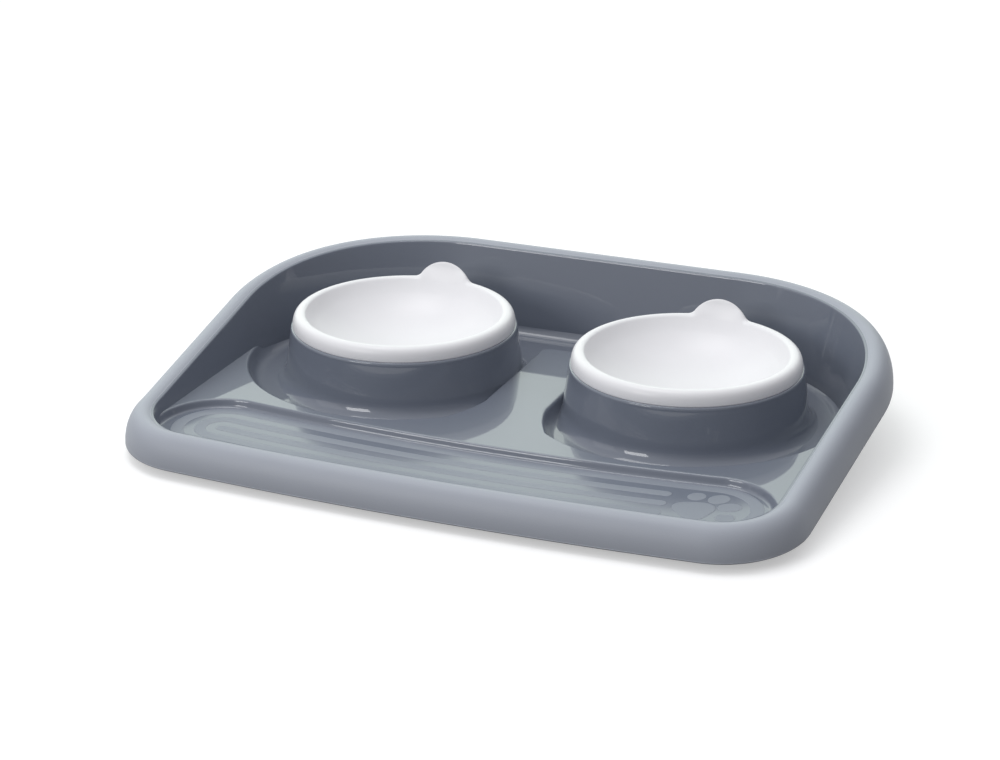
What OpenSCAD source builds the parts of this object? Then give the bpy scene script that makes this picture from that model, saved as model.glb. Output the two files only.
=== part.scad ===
// Double pet bowl: two lift-out bowls standing on the pedestals of a serving tray.
// The tray's rim is low at the front, where the animal eats over a ribbed drip floor,
// and rises to a splash wall at the back.
// Frame: millimetres, +Z up, the back of the tray toward +Y, and the origin on the
// table under the middle of the tray.

/* [Tray] */
// Overall width of the tray
tray_w = 443.6; // [430:0.1:500]
// Overall depth of the tray
tray_d = 324.6; // [318:0.1:360]
// Thickness of the moulded walls
wall = 2.5; // [2:0.1:3]
// Height of the deck round the pedestals
deck_h = 20; // [18:0.5:21]
// How far the drip floor lies below the deck
drip_drop = 5; // [3:0.5:6]
// Corner radius of the floor at the front
front_r = 33; // [25:1:40]
// Corner radius of the floor at the back
back_r = 104; // [90:1:105]
// How far the middle of the front edge bows forward
front_bow = 7.6; // [4:0.1:10]

/* [Rim] */
// Height of the rim's inner edge at the front
front_h = 22; // [21.5:0.1:24]
// Height of the rim's inner edge at the back
back_h = 65; // [50:1:75]
// Width of the rolled lip
lip_w = 16.3; // [14:0.1:20]
// Height of the rolled lip's curve, from its top to its skirt
lip_h = 19.5; // [17:0.1:20]
// Straight skirt under the lip's curve
skirt_h = 0.5; // [0.5:0.1:1.5]
// How far the splash wall leans out, per millimetre of its height
wall_lean_share = 0.27; // [0.2:0.01:0.3]

/* [Pedestals] */
// Gap between the seats of the two bowls
seat_gap_w = 47.2; // [44:0.1:52]
// Height of the seat that carries a bowl's rim
seat_h = 45; // [40:1:50]
// How far a pedestal spreads from its seat down to its foot
spread = 4.5; // [3.5:0.1:7]
// Distance from a seat's edge to the outer edge of the trough round it
trough_reach = 29; // [27:0.5:31]
// Depth of the trough below the deck
trough_depth = 11; // [8:0.5:12]

/* [Bowls] */
// Height of a bowl's rim above its seat
rim_h = 9; // [7:0.5:11]
// Depth of a bowl below its rim
bowl_depth = 28; // [24:1:30]
// Thickness of a bowl's wall
bowl_wall = 2.5; // [2:0.1:3]
// Height of the finger tab above the rim
tab_h = 11; // [8:0.5:12]
// Width of the finger tab at its foot
tab_w = 42; // [36:1:48]

/* [Feet] */
// Diameter of a rubber foot
pad_d = 16; // [14:1:18]
// How far the rubber feet hold the tray above the table
pad_lift = 1; // [0.6:0.1:1.2]

/* [Hidden] */
$fn = 96;

drip_h = deck_h - drip_drop;
trough_h = deck_h - trough_depth;

// The crest's height follows a straight slope from front to back, eased at both ends.
slope_from = -0.433 * tray_d;
slope_to = 0.353 * tray_d;
ease_share = 0.19;
function eased(t) = let (e = ease_share)
    t < -e ? 0 :
    t < e ? pow(t + e, 2) / (4 * e) :
    t < 1 - e ? t :
    t < 1 + e ? 1 - pow(1 + e - t, 2) / (4 * e) : 1;
function crest_h(y) = front_h + (back_h - front_h) * eased((y - slope_from) / (slope_to - slope_from));

// The lip is part of an ellipse that starts this far before its top.
lip_lead = 22;
lip_a = lip_w / (1 + sin(lip_lead));
lip_rise = lip_h * (1 - cos(lip_lead));
crest_round = 0.6 * wall;
function lean(z) = wall_lean_share * (z - deck_h);
function rim_out(y) = lean(crest_h(y)) + crest_round + lip_w;

// The floor's outline is where the inner face of the wall meets the deck.
front_y = -tray_d / 2 + rim_out(-tray_d / 2);
back_y = tray_d / 2 - rim_out(0.41 * tray_d);
corner_y = back_y - back_r;
side_x = tray_w / 2 - rim_out(corner_y);
front_bow_r = (pow(side_x, 2) + pow(front_bow, 2)) / (2 * front_bow);
front_corner_x = side_x - front_r;
front_turn = asin(front_corner_x / (front_bow_r - front_r));
front_corner_y = front_y + front_bow_r - (front_bow_r - front_r) * cos(front_turn);

// The bowls are as large as the tray's width and depth leave room for. Their troughs just
// run under the wall at the sides and back, and leave a strip of deck before the drip floor.
trough_tuck = 0.3 * wall;
drip_y = -0.247 * tray_d;
least_strip = 3;
seat_by_width = (side_x + trough_tuck - trough_reach - seat_gap_w / 2) / 2;
seat_by_depth = (back_y + trough_tuck - drip_y - least_strip) / 2 - trough_reach;
seat_r = min(seat_by_width, seat_by_depth);
foot_r = seat_r + spread;
trough_r = seat_r + trough_reach;
bowl_pitch = 2 * (side_x + trough_tuck - trough_r);
bowl_gap = bowl_pitch - 2 * seat_r;
bowl_back = back_y + trough_tuck - trough_r;

// One station of the outline: a point and the outward direction there.
function arc_station(c, r, a) = [c[0] + r * cos(a), c[1] + r * sin(a), cos(a), sin(a)];
front_steps = 6;
front_corner_steps = 9;
side_steps = 11;
back_corner_steps = 18;
right_half = concat(
    [for (i = [0 : front_steps - 1])
        arc_station([0, front_y + front_bow_r], front_bow_r, -90 + front_turn * i / front_steps)],
    [for (i = [0 : front_corner_steps])
        arc_station([front_corner_x, front_corner_y], front_r,
                    -90 + front_turn + (90 - front_turn) * i / front_corner_steps)],
    [for (i = [1 : side_steps - 1])
        [side_x, front_corner_y + (corner_y - front_corner_y) * i / side_steps, 1, 0]],
    [for (i = [0 : back_corner_steps])
        arc_station([side_x - back_r, corner_y], back_r, 90 * i / back_corner_steps)]);
stations = concat(right_half,
    [for (i = [len(right_half) - 1 : -1 : 1]) let (s = right_half[i]) [-s[0], s[1], -s[2], s[3]]]);

function outline(out) = [for (s = stations) [s[0] + out * s[2], s[1] + out * s[3]]];

// The section of wall, lip and stand ring at a crest height h, as [outward, up] points.
// Beneath the drip floor the wall turns straight down into the stand ring.
ring_top = drip_h - wall - 0.2 * wall;
lip_steps = 12;
under_steps = 6;
skirt_t = 0.9 * wall;
function section(h) = let (
    c = lean(h) + crest_round,
    cu = c + lip_a * sin(lip_lead),
    cz = h - lip_h * cos(lip_lead),
    w = wall * sqrt(1 + pow(wall_lean_share, 2)))
    concat(
        [[lean(ring_top) + 0.1 * wall, pad_lift], [lean(ring_top), ring_top],
         [lean(h - wall), h - wall], [c - 0.45 * crest_round, h - 0.35 * wall]],
        [for (i = [0 : lip_steps]) let (t = -lip_lead + (90 + lip_lead) * i / lip_steps)
            [cu + lip_a * sin(t), cz + lip_h * cos(t)]],
        [[c + lip_w, cz - skirt_h], [c + lip_w - skirt_t, cz - skirt_h]],
        [for (i = [under_steps : -1 : 0]) let (t = -lip_lead + 2 + (88 + lip_lead) * i / under_steps)
            [cu + (lip_a - wall) * sin(t), cz + (lip_h - wall) * cos(t)]],
        [[lean(h - 2 * wall) + w, h - 2 * wall], [lean(ring_top) + w, ring_top],
         [lean(ring_top) + w - 0.1 * wall, pad_lift]]);

// A closed band swept round the stations.
module rim_band() {
    rows = [for (s = stations) section(crest_h(s[1]))];
    n = len(stations);
    m = len(rows[0]);
    points = [for (i = [0 : n - 1], p = rows[i])
        [stations[i][0] + p[0] * stations[i][2], stations[i][1] + p[0] * stations[i][3], p[1]]];
    faces = [for (i = [0 : n - 1], j = [0 : m - 1])
        let (a = i * m + j, b = i * m + (j + 1) % m,
             c = ((i + 1) % n) * m + (j + 1) % m, d = ((i + 1) % n) * m + j)
        each [[a, c, b], [a, d, c]]];
    polyhedron(points, faces);
}

// Rows of the drip floor run along arcs about one far centre behind the tray.
bow_r = 4.03 * tray_d;
bow_c = [0, drip_y + bow_r];
drip_half = 33.5;
drip_mid_r = bow_r + drip_half;
drip_end_r = 37.5;
drip_end_x = side_x - drip_end_r - 0.5 * wall;
function on_row(x, s) = let (a = asin(x / drip_mid_r), r = drip_mid_r - s)
    [bow_c[0] + r * sin(a), bow_c[1] - r * cos(a)];
row_steps = 24;
end_steps = 12;

// A bowed strip with round ends, reaching s to each side of the middle row.
function strip(s, x0, x1) = let (a0 = asin(x0 / drip_mid_r), a1 = asin(x1 / drip_mid_r))
    concat(
        [for (i = [0 : row_steps]) on_row(x0 + (x1 - x0) * i / row_steps, -s)],
        [for (i = [1 : end_steps - 1]) let (c = on_row(x1, 0), a = a1 - 90 + 180 * i / end_steps)
            [c[0] + s * cos(a), c[1] + s * sin(a)]],
        [for (i = [row_steps : -1 : 0]) on_row(x0 + (x1 - x0) * i / row_steps, s)],
        [for (i = [1 : end_steps - 1]) let (c = on_row(x0, 0), a = a0 + 90 + 180 * i / end_steps)
            [c[0] + s * cos(a), c[1] + s * sin(a)]]);

// The drip floor reaches from the curved step to the rim all along the front.
function drip_area(grow) = let (
    r = drip_end_r + grow,
    c = on_row(drip_end_x, drip_half - drip_end_r),
    a = asin(drip_end_x / (bow_r + drip_end_r)),
    far = tray_d)
    concat(
        [for (i = [-row_steps : row_steps]) let (b = a * i / row_steps)
            [(bow_r - grow) * sin(b), bow_c[1] - (bow_r - grow) * cos(b)]],
        [for (i = [1 : end_steps]) let (b = (90 + a) - (90 + a) * i / end_steps)
            [bow_c[0] + (bow_r + drip_end_r) * sin(a) + r * cos(b),
             bow_c[1] - (bow_r + drip_end_r) * cos(a) + r * sin(b)]],
        [[far, bow_c[1] - (bow_r + drip_end_r) * cos(a)], [far, -far], [-far, -far],
         [-far, bow_c[1] - (bow_r + drip_end_r) * cos(a)]],
        [for (i = [end_steps : -1 : 1]) let (b = (90 + a) - (90 + a) * i / end_steps)
            [-(bow_r + drip_end_r) * sin(a) - r * cos(b),
             bow_c[1] - (bow_r + drip_end_r) * cos(a) + r * sin(b)]]);

// Points of a quadratic curve from p to r that leaves and arrives toward q.
function curve(p, q, r, n) = [for (i = [0 : n]) let (t = i / n)
    [pow(1 - t, 2) * p[0] + 2 * t * (1 - t) * q[0] + t * t * r[0],
     pow(1 - t, 2) * p[1] + 2 * t * (1 - t) * q[1] + t * t * r[1]]];

// Pedestals and troughs, as sections about a bowl's axis.
cove_w = 10;
cove_steps = 8;
edge_grip = 0.35 * wall;
trough_out = concat([[0, deck_h - wall / 2], [0, trough_h - wall]],
    [for (i = [0 : cove_steps]) let (a = 80 * i / cove_steps)
        [trough_r - cove_w + (cove_w + wall) * sin(a), deck_h - (trough_depth + wall) * cos(a)]],
    [[trough_r + 0.85 * wall, deck_h - wall / 2]]);
trough_in = concat([[0, deck_h + wall], [0, trough_h]],
    [for (i = [0 : cove_steps]) let (a = 90 * i / cove_steps)
        [trough_r - cove_w + cove_w * sin(a), deck_h - trough_depth * cos(a)]],
    [[trough_r, deck_h + wall]]);

// Two rings, joined behind the bridge by a straight stretch along the back wall.
module troughs(section) {
    at_bowls() rotate_extrude(convexity = 4) polygon(section);
    translate([-bowl_pitch / 2, bowl_back, 0]) rotate([90, 0, 90])
        linear_extrude(bowl_pitch) polygon(section);
}

// The bowl's inner surface is an ellipsoid; its centre and half axes about the bowl's axis.
rim_top = seat_h + rim_h;
bowl_edge_r = 0.875 * seat_r;
bowl_a = 0.917 * seat_r;
edge_drop = 0.15 * rim_h;
edge_fall_share = 1 - sqrt(1 - pow(bowl_edge_r / bowl_a, 2));
bowl_b = (bowl_depth - edge_drop) / edge_fall_share;
bowl_mid_z = rim_top - bowl_depth + bowl_b;
bowl_base_r = 32;
seat_gap = 1.2;
function hull_at(r, grow) = [r, bowl_mid_z - (bowl_b + grow) * sqrt(1 - pow(r / (bowl_a + grow), 2))];
function hull_r(z, grow) = (bowl_a + grow) * sqrt(1 - pow((bowl_mid_z - z) / (bowl_b + grow), 2));
hull_steps = 10;
function hull_run(r0, r1, grow) = [for (i = [0 : hull_steps])
    hull_at(r0 + (r1 - r0) * i / hull_steps, grow)];

// A pedestal is one folded wall: up its outside, over the seat and down into a cup.
shoulder_h = 1.6;
shoulder_w = 1;
shoulder_r = seat_r + shoulder_w;
cup_grow = bowl_wall + seat_gap;
cup_room = 5;
cup_round = 3;
cup_r = bowl_base_r + cup_room;
cup_z = rim_top - bowl_depth - cup_grow;
foot_z = deck_h;
foot_round = 10;
module pedestal() {
    rotate_extrude(convexity = 6)
        polygon(concat(
            curve([foot_r + foot_round, trough_h - 0.25 * wall],
                  [foot_r + 0.2 * wall, trough_h - 0.15 * wall], [foot_r - 0.2 * wall, foot_z], 8),
            curve([shoulder_r, seat_h - shoulder_h], [shoulder_r - 0.04 * wall, seat_h - 0.04 * wall],
                  [seat_r, seat_h], 4),
            [[hull_r(seat_h, cup_grow), seat_h]],
            [for (i = [hull_steps : -1 : 0]) let (
                r0 = cup_r + cup_round,
                r1 = hull_r(seat_h, cup_grow) - 0.16 * wall)
                hull_at(r0 + (r1 - r0) * i / hull_steps, cup_grow)],
            [[cup_r, cup_z], [0, cup_z], [0, cup_z - wall], [cup_r + 0.6 * wall, cup_z - wall]],
            hull_run(cup_r + cup_round + 0.6 * wall, hull_r(seat_h - wall, cup_grow + wall),
                     cup_grow + wall),
            [[shoulder_r - 0.9 * wall, seat_h - 1.5 * wall],
             [foot_r - 1.2 * wall, foot_z], [foot_r - wall, trough_h - 0.5 * wall],
             [foot_r + foot_round, trough_h - 0.5 * wall]]));
}

// The bridge is the strip of deck between the two troughs.
bridge_half = 0.433 * bowl_gap;
bridge_flare = 0.51 * bowl_gap;
bridge_from = 0.6 * seat_r;
bridge_run = 0.73 * seat_r;
bridge_end = 0.757 * seat_r;
bridge_steps = 14;
bridge_round = 8;
function bridge_w(d) = bridge_half + bridge_flare * pow(max(d - bridge_from, 0) / bridge_run, 1.6);
function bridge_side(grow) = concat(
    [for (i = [0 : bridge_steps]) let (d = 1.04 * trough_r * (1 - 2 * i / bridge_steps) )
        if (-d < bridge_end - bridge_round) [bridge_w(abs(d)) + grow, bowl_back - d]],
    [for (i = [0 : 6]) let (a = 90 * i / 6)
        [bridge_w(bridge_end) - bridge_round + (bridge_round + grow) * cos(a),
         bowl_back + bridge_end - bridge_round + (bridge_round + grow) * sin(a)]]);
module bridge(grow) {
    side = bridge_side(grow);
    polygon(concat(side, [for (i = [len(side) - 1 : -1 : 0]) [-side[i][0], side[i][1]]]));
}

module at_bowls() {
    for (side = [-1, 1]) translate([side * bowl_pitch / 2, bowl_back, 0]) children();
}

// Deck, step and drip floor: a slab cut down in front and hollowed from below.
floor_out = 0.12 * wall;
module floor_block() {
    difference() {
        translate([0, 0, drip_h - wall]) linear_extrude(drip_drop + wall) polygon(outline(floor_out));
        translate([0, 0, drip_h]) linear_extrude(drip_drop + wall) polygon(drip_area(0));
        translate([0, 0, drip_h - 2 * wall]) linear_extrude(drip_drop + wall)
            difference() {
                polygon(outline(4 * wall));
                polygon(drip_area(wall));
            }
    }
}

// Matt ribs and a paw print stand a little above the drip floor.
rib_h = 0.3;
rib_w = 6.8;
rib_step = 13.4;
rib_x = drip_end_x - 0.4 * wall;
paw_room = 68;
rib_stop_x = side_x - paw_room;
rib_root = 0.5;
loop_s = 2 * rib_step - 0.5 * rib_w;
module ribs() {
    intersection() {
        translate([0, 0, drip_h - rib_root]) linear_extrude(rib_root + rib_h) {
            difference() {
                polygon(strip(loop_s + 1.15 * rib_w, -rib_x, rib_x));
                polygon(strip(loop_s, -rib_x, rib_x));
            }
            difference() {
                polygon(strip(rib_step + rib_w / 2, -rib_x, rib_x));
                polygon(strip(rib_step - rib_w / 2, -rib_x, rib_x));
                translate([rib_stop_x, -tray_d]) square(tray_d);
            }
            polygon(strip(rib_w / 2, -rib_x, rib_stop_x));
            for (s = [-rib_step, rib_step])
                translate(on_row(rib_stop_x, s)) circle(d = rib_w);
        }
        translate([0, 0, drip_h - 2 * rib_root]) linear_extrude(2 * rib_root + 2 * rib_h)
            polygon(outline(-0.2 * wall));
    }
}

// Each toe: place along and across the paw's own direction, half length, half width.
paw_from_side = 48;
paw_from_row = -4;
paw_at = on_row(side_x - paw_from_side, paw_from_row);
paw_turn = 47;
paw_pad_r = 12;
paw_lobe_share = 0.11;
toes = [[20, 6.2, 7.2, 5.6], [20, -6.2, 7.2, 5.6], [10.5, 15.2, 5.8, 5], [10.5, -17.5, 5.8, 5]];
toe_lean = 14;
module oval(a, b) {
    polygon([for (i = [0 : 23]) [a * cos(15 * i), b * sin(15 * i)]]);
}
module paw() {
    translate([paw_at[0], paw_at[1], drip_h - rib_root]) rotate([0, 0, paw_turn])
        linear_extrude(rib_root + rib_h) {
            polygon([for (i = [0 : 47]) let (a = 7.5 * i, r = paw_pad_r * (1 + paw_lobe_share * cos(3 * a)))
                [r * cos(a), r * sin(a)]]);
            for (t = toes) translate([t[0], t[1]]) rotate(toe_lean * sign(t[1])) oval(t[2], t[3]);
        }
}

// Hollow bosses under the floor hold the rubber feet.
pad_t = 5;
pad_fit = 0.2;
pad_in = 31;
front_pads = [side_x - pad_in, front_y + 1.25 * pad_in];
rear_pad_in = 11.636;
rear_pads = (back_r - rear_pad_in) * cos(45);
function pad_xy(side, rear) = rear
    ? [side * (side_x - back_r + rear_pads), corner_y + rear_pads]
    : [side * front_pads[0], front_pads[1]];
boss_d = pad_d + 2 * wall;
module bosses(cut) {
    for (side = [-1, 1], rear = [false, true]) let (top = (rear ? trough_h : drip_h) - wall)
        translate(concat(pad_xy(side, rear), 0)) {
            if (cut) {
                cylinder(d = pad_d + 2 * pad_fit, h = pad_t);
                cylinder(d = pad_d - 2 * wall, h = max(top, pad_t));
            } else
                translate([0, 0, pad_lift + 0.2 * wall])
                    cylinder(d = boss_d, h = top - pad_lift + 0.2 * wall);
        }
}

module tray() {
    color("slategray") difference() {
        union() {
            difference() {
                union() {
                    floor_block();
                    intersection() {
                        troughs(trough_out);
                        linear_extrude(deck_h) polygon(outline(floor_out));
                    }
                }
                difference() {
                    troughs(trough_in);
                    linear_extrude(deck_h + 2 * wall) bridge(0);
                }
                linear_extrude(deck_h - wall) bridge(-wall);
                at_bowls() cylinder(r = foot_r - wall / 2, h = trough_h);
            }
            at_bowls() pedestal();
            rim_band();
            ribs();
            paw();
            bosses(false);
        }
        bosses(true);
    }
}

// A bowl: rim, shallow round inside, flat base, and a finger tab at the back.
base_round = 3;
rim_band_w = 6;
tab_t = 2.8;
tab_fillet = 5.5;
tab_r = (pow(tab_w / 2, 2) + pow(tab_h, 2)) / (2 * tab_h) - tab_fillet;
tab_top = rim_top + tab_h;
module bowl_section() {
    polygon(concat(
        [[0, rim_top - bowl_depth - bowl_wall], [bowl_base_r, rim_top - bowl_depth - bowl_wall]],
        hull_run(bowl_base_r + base_round, hull_r(seat_h, bowl_wall) - 0.08 * bowl_wall, bowl_wall),
        [[hull_r(seat_h, bowl_wall), seat_h]],
        curve([seat_r - 0.16 * bowl_wall, seat_h], [seat_r - 0.12 * bowl_wall, rim_top - 0.08 * bowl_wall],
              [seat_r - rim_band_w, rim_top], 8),
        [[bowl_edge_r + 0.48 * bowl_wall, rim_top - edge_drop / 3]],
        [for (i = [2 * hull_steps : -1 : 0]) hull_at(bowl_edge_r * i / (2 * hull_steps), 0)]));
}
module tab_outline() {
    fy = rim_top + tab_fillet;
    turn = atan2(tab_w / 2, tab_r + tab_fillet - tab_h);
    polygon(concat(
        [[tab_w / 2, rim_top - rim_h / 2]],
        [for (i = [0 : 6]) let (a = -90 - turn * i / 6)
            [tab_w / 2 + tab_fillet * cos(a), fy + tab_fillet * sin(a)]],
        [for (i = [0 : 16]) let (a = 90 - turn + 2 * turn * i / 16)
            [tab_r * cos(a), tab_top - tab_r + tab_r * sin(a)]],
        [for (i = [6 : -1 : 0]) let (a = -90 + turn * i / 6)
            [-tab_w / 2 + tab_fillet * cos(a), fy + tab_fillet * sin(a)]],
        [[-tab_w / 2, rim_top - rim_h / 2]]));
}
module bowl() {
    rotate_extrude(convexity = 6) bowl_section();
    intersection() {
        rotate_extrude(convexity = 4)
            polygon([[bowl_edge_r - 0.12 * bowl_wall, rim_top - 0.3 * rim_h],
                     [bowl_edge_r + 0.2 * bowl_wall, rim_top - edge_drop],
                     [seat_r - 2.2 * tab_t, tab_top + tab_t], [seat_r - 1.2 * tab_t, tab_top + tab_t],
                     [seat_r - 1.1 * tab_t, rim_top], [seat_r - 1.1 * tab_t, rim_top - 0.3 * rim_h]]);
        rotate([90, 0, 0]) mirror([0, 0, 1]) linear_extrude(1.2 * seat_r) tab_outline();
    }
}
module bowl_left() {
    color("white") translate([-bowl_pitch / 2, bowl_back, 0]) bowl();
}
module bowl_right() {
    color("white") translate([bowl_pitch / 2, bowl_back, 0]) bowl();
}

// A rubber foot: a plug with a rounded lower edge.
pad_round = 1;
module foot(side, rear) {
    color("dimgray") translate(concat(pad_xy(side, rear), 0)) rotate_extrude()
        polygon(concat([[0, 0]],
            curve([pad_d / 2 - pad_round, 0], [pad_d / 2, 0], [pad_d / 2, pad_round], 4),
            [[pad_d / 2, pad_t], [0, pad_t]]));
}
module foot_front_left() foot(-1, false);
module foot_front_right() foot(1, false);
module foot_rear_left() foot(-1, true);
module foot_rear_right() foot(1, true);

tray();
bowl_left();
bowl_right();
foot_front_left();
foot_front_right();
foot_rear_left();
foot_rear_right();
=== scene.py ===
# %% [markdown]
# # A double pet bowl
# Two white bowls stand in the pedestals of a grey feeding tray. The tray is one moulding:
# a polished inside, a rolled lip with a fine matt texture, and a ribbed drip floor in front.
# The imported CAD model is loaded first. It fixes every size and place, in metres, with +Z up
# and the back of the tray toward +Y.
# %% Load the frame
import math

import bpy
import numpy as np
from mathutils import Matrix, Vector
from mathutils.geometry import delaunay_2d_cdt


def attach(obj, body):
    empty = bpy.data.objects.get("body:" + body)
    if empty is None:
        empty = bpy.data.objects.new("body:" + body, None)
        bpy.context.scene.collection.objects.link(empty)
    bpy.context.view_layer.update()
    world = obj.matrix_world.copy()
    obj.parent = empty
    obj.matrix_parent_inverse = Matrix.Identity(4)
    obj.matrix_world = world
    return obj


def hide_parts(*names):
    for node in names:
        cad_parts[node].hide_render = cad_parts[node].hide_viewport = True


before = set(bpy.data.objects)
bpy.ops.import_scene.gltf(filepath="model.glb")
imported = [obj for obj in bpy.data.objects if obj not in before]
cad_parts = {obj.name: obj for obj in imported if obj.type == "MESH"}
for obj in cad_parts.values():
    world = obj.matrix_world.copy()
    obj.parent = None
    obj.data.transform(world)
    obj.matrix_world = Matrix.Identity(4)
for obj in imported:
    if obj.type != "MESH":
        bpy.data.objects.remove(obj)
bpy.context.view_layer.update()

# %% [markdown]
# ## Camera
# The photograph was taken from the front right, a little above the tray, with a long lens.
# A long lens keeps the far bowl almost as large as the near one, so the focal length matters
# as much as the angle. The camera is aimed by its two angles and not by a tracking target,
# because the picture's centre isn't the centre of the object.
# %% Place the camera
CAMERA_AT = (0.5576, -1.3879, 0.6224)
CAMERA_TURN = math.radians(22.44)
CAMERA_DOWN = math.radians(21.55)
SENSOR_W = 0.036
FOCAL_SHARE = 2.59  # focal length over the picture's width

camera_data = bpy.data.cameras.new("camera")
camera_data.sensor_width = SENSOR_W * 1000
camera_data.lens = SENSOR_W * 1000 * FOCAL_SHARE
camera = bpy.data.objects.new("camera", camera_data)
camera.location = CAMERA_AT
camera.rotation_euler = (math.pi / 2 - CAMERA_DOWN, 0, CAMERA_TURN)
bpy.context.scene.collection.objects.link(camera)
bpy.context.scene.camera = camera
print("lens:", round(camera_data.lens, 1), "mm")

# %% [markdown]
# ## Floor and light
# The object stands in a white studio: a wide pale floor and a bright, even surround. Polished
# plastic shows what it mirrors, so the surround is as important as the lamps. The floor gives
# off a little light of its own, which keeps it white where nothing shades it and leaves a
# soft shadow round the lip. Every mesh here is made by one helper, the floor's too.
# %% Make a mesh
def make_mesh(name, vertices, faces, normals=None, materials=(), indices=None):
    """A smooth mesh object from points and faces, with its own normals where they are given."""
    mesh = bpy.data.meshes.new(name)
    mesh.from_pydata([tuple(v) for v in vertices], [], [tuple(f) for f in faces])
    for material in materials:
        mesh.materials.append(material)
    if indices is not None:
        mesh.polygons.foreach_set("material_index", np.asarray(indices, dtype=np.int32))
    mesh.polygons.foreach_set("use_smooth", [True] * len(mesh.polygons))
    mesh.update()
    if normals is not None:
        mesh.normals_split_custom_set_from_vertices([tuple(n) for n in normals])
    thing = bpy.data.objects.new(name, mesh)
    bpy.context.scene.collection.objects.link(thing)
    return thing


# %% Floor
FLOOR_HALF = 5.0
FLOOR_COLOUR = (0.62, 0.62, 0.62, 1)
FLOOR_GLOW = 0.42

floor_material = bpy.data.materials.new("studio_floor")
floor_material.use_nodes = True
floor_shader = floor_material.node_tree.nodes["Principled BSDF"]
floor_shader.inputs["Base Color"].default_value = FLOOR_COLOUR
floor_shader.inputs["Roughness"].default_value = 0.9
floor_shader.inputs["Specular IOR Level"].default_value = 0.0
floor_shader.inputs["Emission Color"].default_value = (1, 1, 1, 1)
floor_shader.inputs["Emission Strength"].default_value = FLOOR_GLOW

corners = [(-FLOOR_HALF, -FLOOR_HALF, 0), (FLOOR_HALF, -FLOOR_HALF, 0),
           (FLOOR_HALF, FLOOR_HALF, 0), (-FLOOR_HALF, FLOOR_HALF, 0)]
studio_floor = make_mesh("studio_floor", corners, [(0, 1, 2, 3)], materials=[floor_material])
studio_floor.visible_diffuse = False

# %% [markdown]
# The surround is a soft gradient, light overhead and dark toward the sides. Low at the back
# left stands a brighter, slightly green backdrop: that is what the deck and the drip floor
# mirror toward the camera. A mask for each comes from the angle to a direction.
# %% Surround
TOWARD_LIGHT = Vector((-0.25, -0.05, 0.97)).normalized()
LIGHT_SPREAD = (0.0, 0.85)  # cosines between which the light fades in
TOWARD_BACKDROP = Vector((-0.42, 0.84, 0.34)).normalized()
BACKDROP_SPREAD = (0.72, 0.95)
DARK_SIDE = (0.23, 0.23, 0.24, 1)
LIGHT_SIDE = (0.96, 0.97, 1.00, 1)
BACKDROP = (1.62, 1.78, 1.66, 1)
BELOW = 0.25  # strength below the horizon


def add_node(tree, kind, **settings):
    """Adds a node with the given properties."""
    node = tree.nodes.new(kind)
    for key, value in settings.items():
        setattr(node, key, value)
    return node


def facing(tree, direction, toward, low, high):
    """A mask that rises smoothly from 0 to 1 as a direction turns toward another."""
    dot = add_node(tree, "ShaderNodeVectorMath", operation="DOT_PRODUCT")
    tree.links.new(direction, dot.inputs[0])
    dot.inputs[1].default_value = toward
    mask = add_node(tree, "ShaderNodeMapRange", interpolation_type="SMOOTHSTEP")
    mask.inputs["From Min"].default_value = low
    mask.inputs["From Max"].default_value = high
    tree.links.new(dot.outputs["Value"], mask.inputs["Value"])
    return mask.outputs["Result"]


def mix_colours(tree, factor, first, second):
    """The first colour where the factor is 0 and the second where it is 1."""
    mix = add_node(tree, "ShaderNodeMix", data_type="RGBA")
    tree.links.new(factor, mix.inputs["Factor"])
    for socket, value in (("A", first), ("B", second)):
        target = [s for s in mix.inputs if s.name == socket and s.type == "RGBA"][0]
        if isinstance(value, tuple):
            target.default_value = value
        else:
            tree.links.new(value, target)
    return [s for s in mix.outputs if s.type == "RGBA"][0]


world = bpy.data.worlds.new("studio")
world.use_nodes = True
tree = world.node_tree
direction = add_node(tree, "ShaderNodeTexCoord").outputs["Generated"]
lit = facing(tree, direction, TOWARD_LIGHT, *LIGHT_SPREAD)
sides = mix_colours(tree, lit, DARK_SIDE, LIGHT_SIDE)
behind = facing(tree, direction, TOWARD_BACKDROP, *BACKDROP_SPREAD)
panel = mix_colours(tree, behind, sides, BACKDROP)
tree.links.new(panel, tree.nodes["Background"].inputs["Color"])
above = facing(tree, direction, Vector((0, 0, 1)), -0.1, 0.0)
strength = add_node(tree, "ShaderNodeMapRange")
strength.inputs["To Min"].default_value = BELOW
tree.links.new(above, strength.inputs["Value"])
tree.links.new(strength.outputs["Result"], tree.nodes["Background"].inputs["Strength"])
bpy.context.scene.world = world
print("surround:", len(tree.nodes), "nodes")

# %% [markdown]
# Three softboxes draw the highlights: one from the front left, one overhead, and a weak one
# close to the left end.
# %% Lamps
LAMP_AIM = Vector((0, 0, 0.03))
LAMPS = {
    # name: (place, width, height, power in watts)
    "front_softbox": ((-0.80, -1.80, 0.90), 0.80, 0.56, 9.5),
    "top_softbox": ((-0.50, 0.00, 2.00), 0.90, 0.90, 9.0),
    "left_softbox": ((-0.90, -0.60, 0.45), 0.50, 0.50, 0.4),
}
for name, (place, width, height, power) in LAMPS.items():
    lamp_data = bpy.data.lights.new(name, "AREA")
    lamp_data.shape = "RECTANGLE"
    lamp_data.size, lamp_data.size_y = width, height
    lamp_data.energy = power
    lamp = bpy.data.objects.new(name, lamp_data)
    lamp.location = place
    aim = LAMP_AIM - Vector(place)
    lamp.rotation_euler = aim.to_track_quat("-Z", "Y").to_euler()
    bpy.context.scene.collection.objects.link(lamp)
    print(name, "at", place)
bpy.context.scene.view_settings.view_transform = "Standard"

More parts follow.
